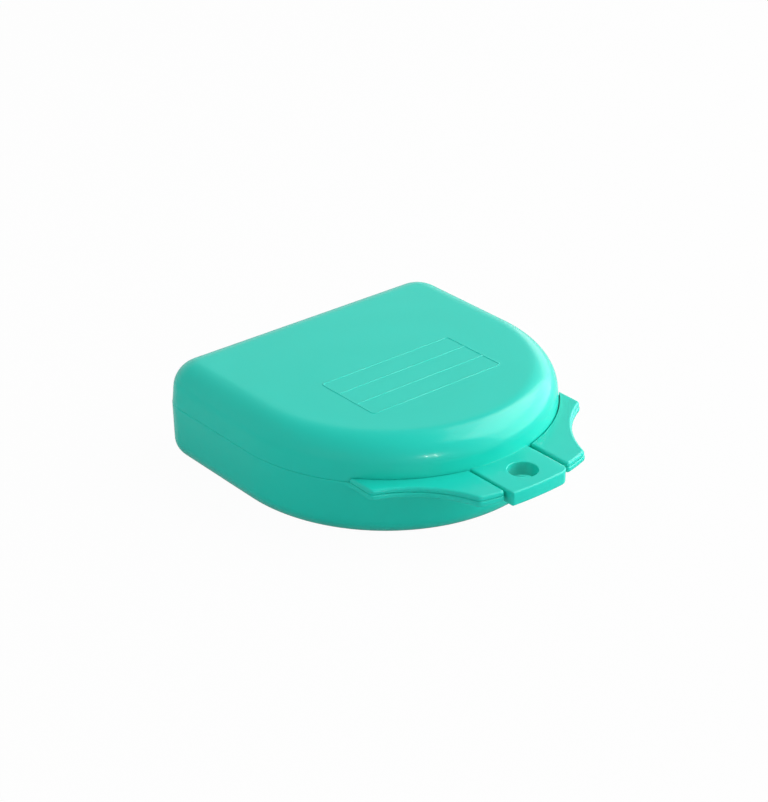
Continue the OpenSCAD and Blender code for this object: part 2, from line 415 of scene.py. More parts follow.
def evaluated_mesh(thing):
    """The mesh that an object's modifiers give."""
    graph = bpy.context.evaluated_depsgraph_get()
    return bpy.data.meshes.new_from_object(thing.evaluated_get(graph))


class NodeGraph:
    """Adds nodes to a tree, with their inputs given as values or as other nodes' sockets."""

    def __init__(self, tree):
        self.tree = tree

    def add(self, kind, inputs=None, **settings):
        node = self.tree.nodes.new(kind)
        for key, value in settings.items():
            setattr(node, key, value)
        return self.fill(node, inputs or {})

    def fill(self, node, inputs):
        for key, value in inputs.items():
            if isinstance(value, bpy.types.NodeSocket):
                self.tree.links.new(value, node.inputs[key])
            else:
                node.inputs[key].default_value = value
        return node

    def out(self, kind, inputs=None, **settings):
        return self.add(kind, inputs, **settings).outputs[0]

    def math(self, operation, *values):
        return self.out("ShaderNodeMath", dict(enumerate(values)), operation=operation)


def geometry_tree(name, inputs):
    """A geometry tree with named inputs; returns its graph, its input node and its output node."""
    tree = bpy.data.node_groups.new(name, "GeometryNodeTree")
    face = tree.interface
    face.new_socket("Geometry", in_out="INPUT", socket_type="NodeSocketGeometry")
    for label, kind in inputs.items():
        face.new_socket(label, in_out="INPUT", socket_type="NodeSocket" + kind)
    face.new_socket("Geometry", in_out="OUTPUT", socket_type="NodeSocketGeometry")
    graph = NodeGraph(tree)
    return graph, graph.add("NodeGroupInput").outputs, graph.add("NodeGroupOutput").inputs


def end_tree(graph, shape, material, out):
    """Ends a tree in Realize Instances and Set Material."""
    real = graph.out("GeometryNodeRealizeInstances", {"Geometry": shape})
    done = graph.out("GeometryNodeSetMaterial", {"Geometry": real, "Material": material})
    graph.tree.links.new(done, out["Geometry"])
    return graph.tree


def run_tree(name, mesh, values):
    """Runs the tree of that name on a mesh with its inputs set; returns the plain closed mesh."""
    tree = bpy.data.node_groups.get(name) or TREES[name](name)
    thing = stand("grown", mesh)
    grow = thing.modifiers.new("grow", "NODES")
    grow.node_group = tree
    names = {i.name: i.identifier for i in tree.interface.items_tree if i.in_out == "INPUT"}
    for label, value in values.items():
        grow[names[label]] = value
    grow[names["Material"]] = plastic()
    made = evaluated_mesh(thing)
    bpy.data.objects.remove(thing)
    bm = bmesh.new()
    bm.from_mesh(made)
    close_up(bm)
    bm.to_mesh(made)
    bm.free()
    return made


def plan_sweep_tree(name):
    """Carries a section round a plan: a rectangle with its own radius in front and at the back.

    The section's X is its distance outside the plan and its Y points down. Open ends are closed
    by a fan to the Centre.
    """
    graph, given, out = geometry_tree(name, {
        "Width": "Float", "Depth": "Float", "Front Radius": "Float", "Back Radius": "Float",
        "Front Steps": "Int", "Back Steps": "Int", "Place": "Vector", "Centre": "Vector",
        "Material": "Material",
    })
    rectangle = graph.out("GeometryNodeCurvePrimitiveQuadrilateral",
                          {"Width": given["Width"], "Height": given["Depth"]})
    where = graph.out("GeometryNodeInputPosition")
    along_y = graph.add("ShaderNodeSeparateXYZ", {0: where}).outputs["Y"]
    in_front = graph.out("FunctionNodeCompare", {"A": along_y, "B": 0.0}, operation="LESS_THAN")
    radius, steps = (
        graph.out("GeometryNodeSwitch", {
            "Switch": in_front, "False": given["Back " + which], "True": given["Front " + which],
        }, input_type=kind)
        for which, kind in (("Radius", "FLOAT"), ("Steps", "INT"))
    )
    rounded = graph.out("GeometryNodeFilletCurve", {
        "Curve": rectangle, "Radius": radius, "Count": steps,
    }, mode="POLY")
    wire = graph.out("GeometryNodeCurveToMesh", {"Curve": rounded})
    seam = 1e-6
    single = graph.out("GeometryNodeMergeByDistance", {"Geometry": wire, "Distance": seam})
    moved = graph.out("GeometryNodeSetPosition", {"Geometry": single, "Offset": given["Place"]})
    plan = graph.out("GeometryNodeMeshToCurve", {"Mesh": moved})
    level = graph.out("GeometryNodeSetCurveNormal", {"Curve": plan}, mode="Z_UP")
    section = graph.out("GeometryNodeMeshToCurve", {"Mesh": given["Geometry"]})
    shell = graph.out("GeometryNodeCurveToMesh", {"Curve": level, "Profile Curve": section})
    faces = graph.out("GeometryNodeInputMeshEdgeNeighbors")
    open_edge = graph.out("FunctionNodeCompare", {2: faces, 3: 1},
                          data_type="INT", operation="EQUAL")
    fan = graph.add("GeometryNodeExtrudeMesh", {
        "Mesh": shell, "Selection": open_edge, "Offset Scale": 0.0,
    }, mode="EDGES")
    pole = graph.out("ShaderNodeVectorMath", {0: where, 1: (0, 0, 1), 2: given["Centre"]},
                     operation="MULTIPLY_ADD")
    drawn = graph.out("GeometryNodeSetPosition", {
        "Geometry": fan.outputs["Mesh"], "Selection": fan.outputs["Top"], "Position": pole,
    })
    return end_tree(graph, drawn, given["Material"], out)


def bead_tree(name):
    """A round bead along an arc of the front, with both ends drawn in."""
    graph, given, out = geometry_tree(name, {
        "Arc Radius": "Float", "Bead Radius": "Float", "Start Angle": "Float", "Sweep Angle": "Float",
        "Place": "Vector", "Material": "Material",
    })
    arc_points, ring_points = 49, 24
    end_steepness, tip_size = 12.0, 0.02
    way = graph.out("GeometryNodeCurveArc", {
        "Resolution": arc_points, "Radius": given["Arc Radius"], "Start Angle": given["Start Angle"],
        "Sweep Angle": given["Sweep Angle"],
    }, mode="RADIUS")
    share_of = graph.add("GeometryNodeSplineParameter").outputs["Factor"]
    from_end = graph.math("SUBTRACT", 1.0, graph.math("ABSOLUTE", graph.math(
        "SUBTRACT", graph.math("MULTIPLY", share_of, 2.0), 1.0)))
    run_in = graph.math("MINIMUM", graph.math("MULTIPLY", from_end, end_steepness), 1.0)
    short = graph.math("SUBTRACT", 1.0, run_in)
    full = graph.math("SQRT", graph.math("SUBTRACT", 1.0, graph.math("MULTIPLY", short, short)))
    size = graph.math("MAXIMUM", full, tip_size)
    ring = graph.out("GeometryNodeCurvePrimitiveCircle", {
        "Resolution": ring_points, "Radius": given["Bead Radius"],
    }, mode="RADIUS")
    level = graph.out("GeometryNodeSetCurveNormal", {"Curve": way}, mode="Z_UP")
    bead = graph.out("GeometryNodeCurveToMesh", {
        "Curve": level, "Profile Curve": ring, "Scale": size, "Fill Caps": True,
    })
    placed = graph.out("GeometryNodeSetPosition", {"Geometry": bead, "Offset": given["Place"]})
    return end_tree(graph, placed, given["Material"], out)


def rows_tree(name):
    """Sets a shape out in rows and columns about a place; the shape is the object's own mesh."""
    graph, given, out = geometry_tree(name, {
        "Columns": "Int", "Rows": "Int", "Column Pitch": "Float", "Row Pitch": "Float",
        "Place": "Vector", "Material": "Material",
    })
    span = [
        graph.math("MULTIPLY", given[pitch], graph.math("SUBTRACT", given[count], 1.0))
        for pitch, count in (("Column Pitch", "Columns"), ("Row Pitch", "Rows"))
    ]
    points = graph.out("GeometryNodeMeshGrid", {
        "Size X": span[0], "Size Y": span[1],
        "Vertices X": given["Columns"], "Vertices Y": given["Rows"],
    })
    placed = graph.out("GeometryNodeSetPosition", {"Geometry": points, "Offset": given["Place"]})
    copies = graph.out("GeometryNodeInstanceOnPoints", {
        "Points": placed, "Instance": given["Geometry"],
    })
    return end_tree(graph, copies, given["Material"], out)


TREES = {
    "Section round a plan": plan_sweep_tree,
    "Bead along an arc": bead_tree,
    "Shape in rows": rows_tree,
}


def section_mesh(points, closed=False):
    """A section's line as a mesh of edges, with its heights turned to what the sweep expects."""
    mesh = bpy.data.meshes.new("section")
    last = len(points) - 1
    edges = [(i, i + 1) for i in range(last)] + ([(last, 0)] if closed else [])
    mesh.from_pydata([(x, -z, 0) for x, z in points], edges, [])
    return mesh


def plastic():
    """Moulded polypropylene: glossy skin with faint flow marks, a fine grain and soft waves."""
    found = bpy.data.materials.get(MATERIAL)
    if found:
        return found
    look = bpy.context.scene.box_plastic
    material = bpy.data.materials.new(MATERIAL)
    material.use_nodes = True
    graph = NodeGraph(material.node_tree)
    shader = material.node_tree.nodes["Principled BSDF"]
    place = graph.add("ShaderNodeTexCoord").outputs["Object"]

    def noise(scale, detail, roughness):
        return graph.add("ShaderNodeTexNoise", {
            "Vector": place, "Scale": scale, "Detail": detail, "Roughness": roughness,
        }).outputs

    clouds = noise(38.0, 3.0, 0.5)
    bend, cloud_share, flow_share = 0.012, 0.8, 0.2
    gate = graph.out("ShaderNodeMapping", {
        "Vector": place, "Location": (0.0, -ARC_Y, 0.0), "Scale": (1.0, 1.0, 0.4),
    })
    bent = graph.add("ShaderNodeMix", {0: bend, 4: gate, 5: clouds["Color"]}, data_type="VECTOR")
    flow = graph.add("ShaderNodeTexWave", {
        "Vector": bent.outputs[1], "Scale": 28.0, "Distortion": 2.2, "Detail": 2.0, "Detail Scale": 1.4,
    }, wave_type="RINGS", rings_direction="SPHERICAL").outputs["Fac"]
    tone = graph.math("ADD", graph.math("MULTIPLY", clouds["Fac"], cloud_share),
                      graph.math("MULTIPLY", flow, flow_share))
    tint = graph.add("ShaderNodeMix", {0: tone, 6: (*look.tint, 1), 7: (*look.pale, 1)},
                     data_type="RGBA").outputs[2]

    smears = noise(120.0, 4.0, 0.6)
    smoother, rougher = 0.03, 0.04
    rough = graph.out("ShaderNodeMapRange", {
        "Value": smears["Fac"], "From Min": 0.3, "From Max": 0.7,
        "To Min": look.gloss - smoother, "To Max": look.gloss + rougher,
    })

    waves = noise(150.0, 2.0, 0.4)
    grain = noise(900.0, 2.0, 0.5)
    wave_height, grain_height = 0.002 * MM, 0.0004 * MM
    orange_peel = graph.out("ShaderNodeBump", {
        "Distance": wave_height, "Height": waves["Fac"],
    })
    skin = graph.out("ShaderNodeBump", {
        "Distance": grain_height, "Height": grain["Fac"], "Normal": orange_peel,
    })
    graph.fill(shader, {
        "Base Color": tint, "Roughness": rough, "Normal": skin,
        "IOR": 1.49, "Specular IOR Level": 0.14,
        "Coat Weight": 0.12, "Coat Roughness": 0.05, "Coat IOR": 1.49,
        "Subsurface Weight": look.glow, "Subsurface Radius": (0.3, 1.0, 0.8),
        "Subsurface Scale": 1.2 * MM,
    })
    return material


def outer_line(height, draft, edge_r, foot_r):
    """A shell's outside from its flat end to its foot at (0, 0), as (outside the plan, height)."""
    edge_steps, foot_steps = 16, 4
    centre = (-(edge_r + (height - edge_r) * sin(draft)) / cos(draft), height - edge_r)
    foot = (-foot_r * (1 + sin(draft)) / cos(draft), foot_r)
    return (
        [(centre[0] - FLAT_RING, height)]
        + arc(centre, edge_r, pi / 2, draft, edge_steps)
        + arc(foot, foot_r, draft, -pi / 2, foot_steps)
    )


def inner_line(height, draft, edge_r, wall, low):
    """A shell's inside from the height low to its flat end."""
    edge_steps = 12
    foot_x = -wall / cos(draft)
    inside_h = height - wall
    inside_r = edge_r - wall
    centre_x = foot_x - (inside_r + (inside_h - inside_r) * sin(draft)) / cos(draft)
    outer_end = -(edge_r + (height - edge_r) * sin(draft)) / cos(draft) - FLAT_RING
    start = (foot_x - low * sin(draft) / cos(draft), low)
    bend = arc((centre_x, inside_h - inside_r), inside_r, draft, pi / 2, edge_steps)
    return [start] + bend + [(min(outer_end, centre_x - FLAT_RING), inside_h)]


def lid_line(sizes):
    """Section of the lid's wall above the parting plane, rebated for the base's lip."""
    skin = sizes.wall - sizes.lip - sizes.lip_gap
    room = sizes.lip_height + 2 * sizes.lip_gap
    soft = sizes.soft
    shape = (sizes.lid_height, sizes.lid_draft, sizes.lid_round)
    outside = outer_line(*shape, sizes.lid_rim)
    inside = inner_line(*shape, sizes.wall, room)
    rebate = (
        arc((-skin + soft, soft), soft, -pi / 2, -pi, SMALL_STEPS)
        + [(-skin, room - soft)]
        + arc((-skin - soft, room - soft), soft, 0, pi / 2, SMALL_STEPS)
    )
    ledge = arc((inside[0][0] + soft, room + soft), soft, -pi / 2, -pi, SMALL_STEPS)
    drawn_in = [(x - sizes.lid_step, z) for x, z in outside]
    return held(drawn_in + rebate + ledge + inside[1:])


def base_line(sizes):
    """Section of the base's wall below the parting plane, with the lip above it."""
    soft = sizes.soft
    shape = (sizes.base_height, sizes.base_draft, sizes.base_round)
    outside = outer_line(*shape, sizes.base_rim)
    inside = inner_line(*shape, sizes.wall, 0)
    inner_x = inside[0][0]
    lip_out = inner_x + sizes.lip
    lead_in = 2 * soft
    lip = (
        [(lip_out, 0), (lip_out, lead_in - sizes.lip_height)]
        + arc((lip_out - lead_in, lead_in - sizes.lip_height), lead_in, 0, -pi / 2, steps=4)[1:]
        + arc((inner_x + soft, soft - sizes.lip_height), soft, -pi / 2, -pi, SMALL_STEPS)
    )
    return [(x, -z) for x, z in held(outside + lip + inside)]


def swept_shell(sizes, line):
    """Carries a shell's section round the box's plan."""
    return run_tree("Section round a plan", section_mesh(line), {
        "Width": sizes.width, "Depth": sizes.depth, "Front Radius": sizes.width / 2,
        "Back Radius": sizes.back_corner, "Front Steps": sizes.front_steps,
        "Back Steps": sizes.corner_steps, "Place": (0, BACK_Y - sizes.depth / 2, PARTING_Z),
        "Centre": (0, ARC_Y, 0),
    })


class BOX_OT_base_tray(Operator):
    """Build the base tray with the lip inside its rim"""

    bl_idname = "appliance_box.base_tray"
    bl_label = "Base tray"

    def execute(self, context):
        sizes = context.scene.box_shells
        moulding("base_tray", swept_shell(sizes, base_line(sizes)), "base")
        return {"FINISHED"}


class BOX_OT_lid_shell(Operator):
    """Build the lid with the rebate inside its rim"""

    bl_idname = "appliance_box.lid_shell"
    bl_label = "Lid shell"

    def execute(self, context):
        sizes = context.scene.box_shells
        moulding("lid_shell", swept_shell(sizes, lid_line(sizes)), "lid")
        return {"FINISHED"}


def wing_outline(sizes, side, flare=0.0):
    """Outline of a wing about the front's centre, counter-clockwise, as it stands on the right.

    It follows the tab's side, the horn concentric with the wall, the finger scoop and the outer
    side, which runs out into the wall with the radius flare.
    """
    corner_steps, horn_steps, scoop_steps, root_steps = 8, 24, 40, 30
    inner_x = WING_LOW.x
    outer_x = sizes.right_side if side > 0 else sizes.left_side
    scoop_r = sizes.right_radius if side > 0 else sizes.left_radius
    scoop_angle = sizes.right_angle if side > 0 else sizes.left_angle
    horn_r = FRONT_R + sizes.wing_reach
    root_r = FRONT_R - sizes.wing_sink
    tip = sizes.wing_corner
    heel = sizes.wing_heel
    scoop_far = FRONT_R + sizes.scoop_waist + scoop_r
    scoop = (scoop_far * sin(scoop_angle), -scoop_far * cos(scoop_angle))
    tab_side = Vector(front_point(inner_x + heel, horn_r - heel))
    horn_tip = circles_meet(horn_r - tip, Vector(scoop), scoop_r + tip)
    rise = sqrt((scoop_r + tip) ** 2 - (outer_x - tip - scoop[0]) ** 2)
    outer_tip = Vector((outer_x - tip, scoop[1] + rise))

    def corner(centre, radius, start, end):
        return arc(centre, radius, start, start + (end - start) % (2 * pi), corner_steps)

    horn_from = turn_of((0, 0), tab_side)
    horn_to = turn_of((0, 0), horn_tip)
    scoop_from = turn_of(scoop, horn_tip)
    scoop_to = turn_of(scoop, outer_tip)
    root_out = front_point(outer_x, root_r)
    root_in = front_point(inner_x, root_r)
    run_out = []
    if flare > 0:
        hollow = front_point(outer_x + flare, FRONT_R + flare)
        run_out = arc(hollow, flare, pi, turn_of(hollow, (0, 0)), corner_steps)
        root_out = tuple(Vector(run_out[-1]) * root_r / FRONT_R)
    root = arc((0, 0), root_r, turn_of((0, 0), root_out), turn_of((0, 0), root_in), root_steps)
    return (
        corner(tab_side, heel, pi, horn_from)
        + arc((0, 0), horn_r, horn_from, horn_to, horn_steps)[1:-1]
        + corner(horn_tip, tip, horn_to, scoop_from + pi)
        + arc(scoop, scoop_r, scoop_from, scoop_to, scoop_steps)[1:-1]
        + corner(outer_tip, tip, scoop_to + pi, 2 * pi)
        + run_out
        + [root_out]
        + root[1:-1]
        + [root_in]
    )


def grip_wing(sizes, side):
    """A wing: a ledge below the rim and a pad on it, with a groove between, clear of the lid.

    It is drawn as it stands on the right and mirrored for the left.
    """
    def place(u, v, z):
        return (u, v + ARC_Y, z)

    half = sizes.groove_width / 2
    pad_foot = 0.08 * MM
    ledge_top = PARTING_Z - half
    ledge = plate(wing_outline(sizes, side, sizes.ledge_flare),
                  edge_rings(WING_LOW.z, ledge_top, sizes.ledge_edge, sizes.ledge_edge), place)
    neck = sizes.wing_step + sizes.wing_groove
    rings = edge_rings(PARTING_Z + half, WING_HIGH.z, pad_foot, sizes.wing_edge, sizes.wing_step)
    rings[0] = (neck, PARTING_Z + half)
    rings.insert(0, (neck, ledge_top - half))
    pad = mesh_from(plate(wing_outline(sizes, side), rings, place), "pad")
    clear_r = FRONT_R + sizes.wing_gap
    cutter = lathe([(clear_r, WING_LOW.z), (clear_r, WING_HIGH.z + LAP)], place, steps=384)
    pad = carve(pad, mesh_from(cutter, "clearance"))
    wing = joined([mesh_from(ledge, "ledge"), pad], "wing")
    if side < 0:
        wing.transform(Matrix.Scale(-1, 4, (1, 0, 0)))
        wing.flip_normals()
    return wing


class BOX_OT_grip_wings(Operator):
    """Build the two scooped wings beside the tab"""

    bl_idname = "appliance_box.grip_wings"
    bl_label = "Grip wings"

    def execute(self, context):
        sizes = context.scene.box_front
        for side, name in ((1, "right_grip_wing"), (-1, "left_grip_wing")):
            moulding(name, grip_wing(sizes, side), "base")
        return {"FINISHED"}


def tab_line(sizes, draft, reach, cut):
    """The tab's section as (outside the wall, above the parting plane), moved in by cut."""
    rise = WING_HIGH.z - PARTING_Z
    low = TAB_LOW.z - PARTING_Z
    edge = max(sizes.tab_edge - cut, 0)
    heel = max(0.3 * MM - cut, 0)
    blend = sizes.tab_blend
    inside = 0.3 * MM
    foot = 0.05 * MM
    top_hold = 0.1 * MM
    hollow_h = rise + blend
    hollow = ((blend - hollow_h * sin(draft)) / cos(draft), hollow_h)
    curve = arc(hollow, blend + cut, 1.5 * pi, pi + draft, steps=14)
    top = curve[-1]
    return (
        [(-inside, inside), (foot, cut), (sizes.catch_gap + cut, cut)]
        + arc((sizes.catch_gap + cut + heel, low + cut + heel), heel, pi, 1.5 * pi, steps=4)
        + arc((reach - cut - edge, low + cut + edge), edge, -pi / 2, 0, EDGE_STEPS)
        + arc((reach - cut - edge, rise - cut - edge), edge, 0, pi / 2, EDGE_STEPS)
        + curve
        + [(top[0] - inside, top[1] + top_hold)]
    )


def tab_mesh(sizes, draft):
    """The tab: its section carried across the front, with rounded sides and the lanyard hole."""
    columns, corner_steps, edge_steps = 26, 12, 6
    edge = sizes.tab_edge
    tab_r = ARC_Y - TAB_LOW.y
    bow_y = sizes.tab_bow - tab_r
    rings = []
    for side, corner, grow in ((1, sizes.right_corner, 0), (-1, sizes.left_corner, sizes.left_grow)):
        half = (TAB_HIGH.x - TAB_LOW.x) / 2 + grow
        inner = half - corner
        bend_y = bow_y - sqrt((sizes.tab_bow - corner) ** 2 - inner ** 2)
        places = {round(inner + corner * sin(pi / 2 * i / corner_steps), 8)
                  for i in range(corner_steps + 1)}
        places |= {round(half - edge + edge * sin(pi / 2 * i / edge_steps), 8)
                   for i in range(edge_steps // 2, edge_steps)}
        places |= {round(inner * i / columns, 8) for i in range(side < 0, columns)}
        for x in sorted(places, reverse=side > 0):
            past = min(max(x - (half - edge), 0) / edge, 1)
            cut = edge * (1 - sqrt(1 - past * past))
            beyond = x - inner
            if beyond > 0:
                front = bend_y - sqrt(max(corner ** 2 - beyond ** 2, 0))
            else:
                front = bow_y - sqrt(sizes.tab_bow ** 2 - x * x)
            line = tab_line(sizes, draft, hypot(x, front) - FRONT_R, cut)
            rings.append([(side * x, ARC_Y - sqrt((FRONT_R + out) ** 2 - x * x), PARTING_Z + z)
                          for out, z in line])
    bm = bmesh.new()
    loft(bm, rings)
    return carve(mesh_from(bm, "tab"), spool(sizes.hole_rim))


def spool(rim):
    """The cutter for the lanyard hole, which leaves both of its rims rounded."""
    hole_r = HOLE["dims"]["r_mm"] * MM
    centre_y = HOLE["pos_m"][1]
    low = TAB_LOW.z
    high = WING_HIGH.z
    stop = radians(6)
    lower = arc((hole_r + rim, low + rim), rim, 1.5 * pi - stop, pi, steps=6)
    upper = arc((hole_r + rim, high - rim), rim, pi, pi / 2 + stop, steps=6)
    profile = [(lower[0][0], low - LAP)] + lower + upper + [(upper[-1][0], high + LAP)]
    return mesh_from(lathe(profile, lambda x, y, z: (x, y + centre_y, z)), "spool")


class BOX_OT_latch_tab(Operator):
    """Build the latch tab with its lanyard hole"""

    bl_idname = "appliance_box.latch_tab"
    bl_label = "Latch tab"

    def execute(self, context):
        mesh = tab_mesh(context.scene.box_front, context.scene.box_shells.lid_draft)
        moulding("latch_tab", mesh, "lid")
        return {"FINISHED"}


class BOX_OT_catch(Operator):
    """Build the catch: the ridge on the base and the bead on the tab"""

    bl_idname = "appliance_box.catch"
    bl_label = "Catch"

    def execute(self, context):
        bead_r = FRONT_R + context.scene.box_front.catch_gap
        for name, body, ring_r in (("catch_ridge", "base", FRONT_R), ("catch_bead", "lid", bead_r)):
            low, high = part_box(name)
            half = asin((high.x - low.x) / 2 / ring_r)
            mesh = run_tree("Bead along an arc", bpy.data.meshes.new("empty"), {
                "Arc Radius": ring_r, "Bead Radius": (high.z - low.z) / 2,
                "Start Angle": 1.5 * pi - half, "Sweep Angle": 2 * half,
                "Place": (0, ARC_Y, (low.z + high.z) / 2),
            })
            moulding(name, mesh, body)
        return {"FINISHED"}


def knuckle_line(sizes, up):
    """Section of a hinge knuckle as (y, z): a round boss with a web that runs into the back wall."""
    r = BARREL_HIGH.y - HINGE.y
    slope = sizes.web_slope
    web = HINGE.y - BACK_Y + sizes.sink
    web_top = (r + web * sin(slope)) / cos(slope)
    line = [(-web, 0)] + arc((0, 0), r, pi, 2.5 * pi - slope, steps=48) + [(-web, web_top)]
    if not up:
        line = [(y, -z) for y, z in reversed(line)]
    return held([(HINGE.y + y, HINGE.z + z) for y, z in line], closed=True)


def across(y, z, x):
    """The point of a section that is carried from left to right."""
    return (x, y, z)


def about_hinge(y, z, x):
    """The point of a solid that is turned about the hinge's axis."""
    return (x, HINGE.y + y, HINGE.z + z)


class BOX_OT_hinge_barrel(Operator):
    """Build the hinge barrel on the lid's back wall"""

    bl_idname = "appliance_box.hinge_barrel"
    bl_label = "Hinge barrel"

    def execute(self, context):
        sizes = context.scene.box_hinge
        bm = plate(knuckle_line(sizes, True),
                   edge_rings(BARREL_LOW.x, BARREL_HIGH.x, sizes.edge, sizes.edge), across)
        moulding("hinge_barrel", mesh_from(bm, "barrel"), "lid")
        return {"FINISHED"}


class BOX_OT_hinge_ears(Operator):
    """Build the two bored ears on the base's back wall"""

    bl_idname = "appliance_box.hinge_ears"
    bl_label = "Hinge ears"

    def execute(self, context):
        sizes = context.scene.box_hinge
        bore = (PIN_HIGH.z - PIN_LOW.z) / 2 + sizes.pin_gap
        for name in ("right_hinge_ear", "left_hinge_ear"):
            low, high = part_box(name)
            bm = plate(knuckle_line(sizes, False),
                       edge_rings(low.x, high.x, sizes.edge, sizes.edge), across)
            drill = lathe([(bore, low.x - LAP), (bore, high.x + LAP)], about_hinge, HINGE_STEPS)
            mesh = carve(mesh_from(bm, "ear"), mesh_from(drill, "drill"))
            moulding(name, mesh, "base")
        return {"FINISHED"}


class BOX_OT_hinge_pins(Operator):
    """Build the two stub pins on the barrel's ends"""

    bl_idname = "appliance_box.hinge_pins"
    bl_label = "Hinge pins"

    def execute(self, context):
        sizes = context.scene.box_hinge
        r = (PIN_HIGH.z - PIN_LOW.z) / 2
        chamfer = sizes.pin_chamfer
        soft = 0.12 * MM
        end = PIN_HIGH.x
        profile = [
            (r, PIN_LOW.x - sizes.sink), (r, end - chamfer - soft), (r - soft / 4, end - chamfer),
            (r - chamfer + soft / 4, end - soft), (r - chamfer - soft / 2, end), (r / 3, end),
        ]
        for side, name in ((1, "right_hinge_pin"), (-1, "left_hinge_pin")):
            bm = lathe(profile, lambda y, z, x: about_hinge(y, z, side * x), HINGE_STEPS)
            moulding(name, mesh_from(bm, "pin"), "lid")
        return {"FINISHED"}


class BOX_OT_name_field(Operator):
    """Build the raised outline and its ruled lines on the lid"""

    bl_idname = "appliance_box.name_field"
    bl_label = "Name field"

    def execute(self, context):
        sizes = context.scene.box_field
        low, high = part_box("name_field")
        width = high.x - low.x
        depth = high.y - low.y
        middle_y = (low.y + high.y) / 2
        place = (0, middle_y, low.z)
        sunk = 0.1 * MM
        half = sizes.line / 2
        hump_steps, corner_steps = 10, 12
        turns = [pi * i / hump_steps for i in range(hump_steps + 1)]
        hump = [(-half + half * cos(a), sizes.height * sin(a)) for a in turns]
        line = [(0, -sunk)] + hump + [(-2 * half, -sunk)]
        outline = run_tree("Section round a plan", section_mesh(line, closed=True), {
            "Width": width, "Depth": depth, "Front Radius": sizes.corner,
            "Back Radius": sizes.corner, "Front Steps": corner_steps, "Back Steps": corner_steps,
            "Place": place, "Centre": (0, middle_y, 0),
        })
        bar = bmesh.new()
        long = width / 2 - half
        loft(bar, [[(x, y + half, z) for y, z in line] for x in (-long, long)])
        pitch = depth / (sizes.lines + 1)
        rules = run_tree("Shape in rows", mesh_from(bar, "bar"), {
            "Columns": 1, "Rows": sizes.lines, "Column Pitch": pitch, "Row Pitch": pitch,
            "Place": place,
        })
        moulding("name_field", joined([outline, rules], "field"), "lid")
        return {"FINISHED"}


class BOX_OT_ejector_marks(Operator):
    """Build the faint round marks of the mould's ejector pins inside both shells"""

    bl_idname = "appliance_box.ejector_marks"
    bl_label = "Ejector marks"

    def execute(self, context):
        sizes = context.scene.box_field
        wall = context.scene.box_shells.wall
        r, h = sizes.mark, sizes.mark_height
        for name, body, level, up in (
            ("base_ejector_marks", "base", TRAY_LOW.z + wall, 1),
            ("lid_ejector_marks", "lid", LID_HIGH.z - wall, -1),
        ):
            profile = [(r, -h), (r, 0), (r - h / 2, h * 0.8), (r - 2 * h, h), (r / 4, h)]
            disc = lathe(profile, lambda x, y, z: (x, y, up * z), steps=40)
            mesh = run_tree("Shape in rows", mesh_from(disc, "disc"), {
                "Columns": 2, "Rows": 2, "Column Pitch": sizes.mark_columns,
                "Row Pitch": sizes.mark_rows, "Place": (0, ARC_Y, level),
            })
            link_piece(name, mesh, body)
        return {"FINISHED"}


# Name, azimuth, elevation, size, radiance and the kind of ray that doesn't see the lamp
SOFTBOXES = (
    ("key softbox", 68, 49, (0.85, 0.6), 2.45, "visible_transmission"),
    ("front fill", 52, 12, (0.85, 0.4), 3.85, "visible_glossy"),
    ("back softbox", -120, 40, (0.45, 0.4), 1.9, "visible_glossy"),
    ("left softbox", -75, 15, (0.45, 0.4), 0.85, "visible_glossy"),
    ("low front softbox", -8, 6, (0.5, 0.3), 0.65, "visible_glossy"),
    ("rim softbox", 113, 7, (0.4, 0.34), 1.0, "visible_diffuse"),
    ("sheen softbox", 68, 27, (1.05, 1.0), 2.85, "visible_diffuse"),
)
# Name, azimuth, elevation and the place of the gleam, from the front's centre
GLINTS = (
    ("left glint lamp", -13.4, 17.2, (-17.22 * MM, -34.04 * MM, 18.74 * MM)),
    ("right glint lamp", -7.8, 16.7, (-15.23 * MM, -34.92 * MM, 18.88 * MM)),
)
GLINT_SIZE = (0.035, 0.1)
GLINT_RADIANCE = 48
LAMP_DISTANCE = 0.8
FLOOR_GREY = 0.62


def turn_to(thing, aim, azimuth, elevation, distance):
    """Puts a lamp or the camera at that distance from the aim and turns it there."""
    a, e = azimuth, elevation
    back = Vector((sin(a) * cos(e), -cos(a) * cos(e), sin(e)))
    thing.location = aim + back * distance
    thing.rotation_euler = back.to_track_quat("Z", "Y").to_euler()


def soft_lamp(name, aim, azimuth, elevation, size, radiance, hidden_from):
    """A softbox that faces the aim; its energy is the radiance times 4 times the area."""
    light = bpy.data.lights.new(name, "AREA")
    light.shape = "RECTANGLE"
    light.size, light.size_y = size
    light.energy = 4 * size[0] * size[1] * radiance
    lamp = stand(name, light)
    turn_to(lamp, aim, radians(azimuth), radians(elevation), LAMP_DISTANCE)
    setattr(lamp, hidden_from, False)


def studio_camera(studio, aim):
    """The camera, with its lens and shift worked out from the scale and the aim's pixel."""
    data = bpy.data.cameras.new("camera")
    focal_px = studio.pixels_per_mm / MM * studio.distance
    data.lens = focal_px * data.sensor_width / IMAGE_LONG_SIDE
    data.shift_x = studio.shift_right / IMAGE_LONG_SIDE
    data.shift_y = -studio.shift_up / IMAGE_LONG_SIDE
    camera = stand("camera", data)
    turn_to(camera, aim, studio.azimuth, studio.elevation, studio.distance)
    bpy.context.scene.camera = camera


def seen_rays(graph):
    """1 for the rays that show the background: the camera's, mirrored and transmitted ones."""
    path = graph.add("ShaderNodeLightPath").outputs
    mirrored = graph.math("MAXIMUM", path["Is Glossy Ray"], path["Is Transmission Ray"])
    return graph.math("MAXIMUM", path["Is Camera Ray"], mirrored)


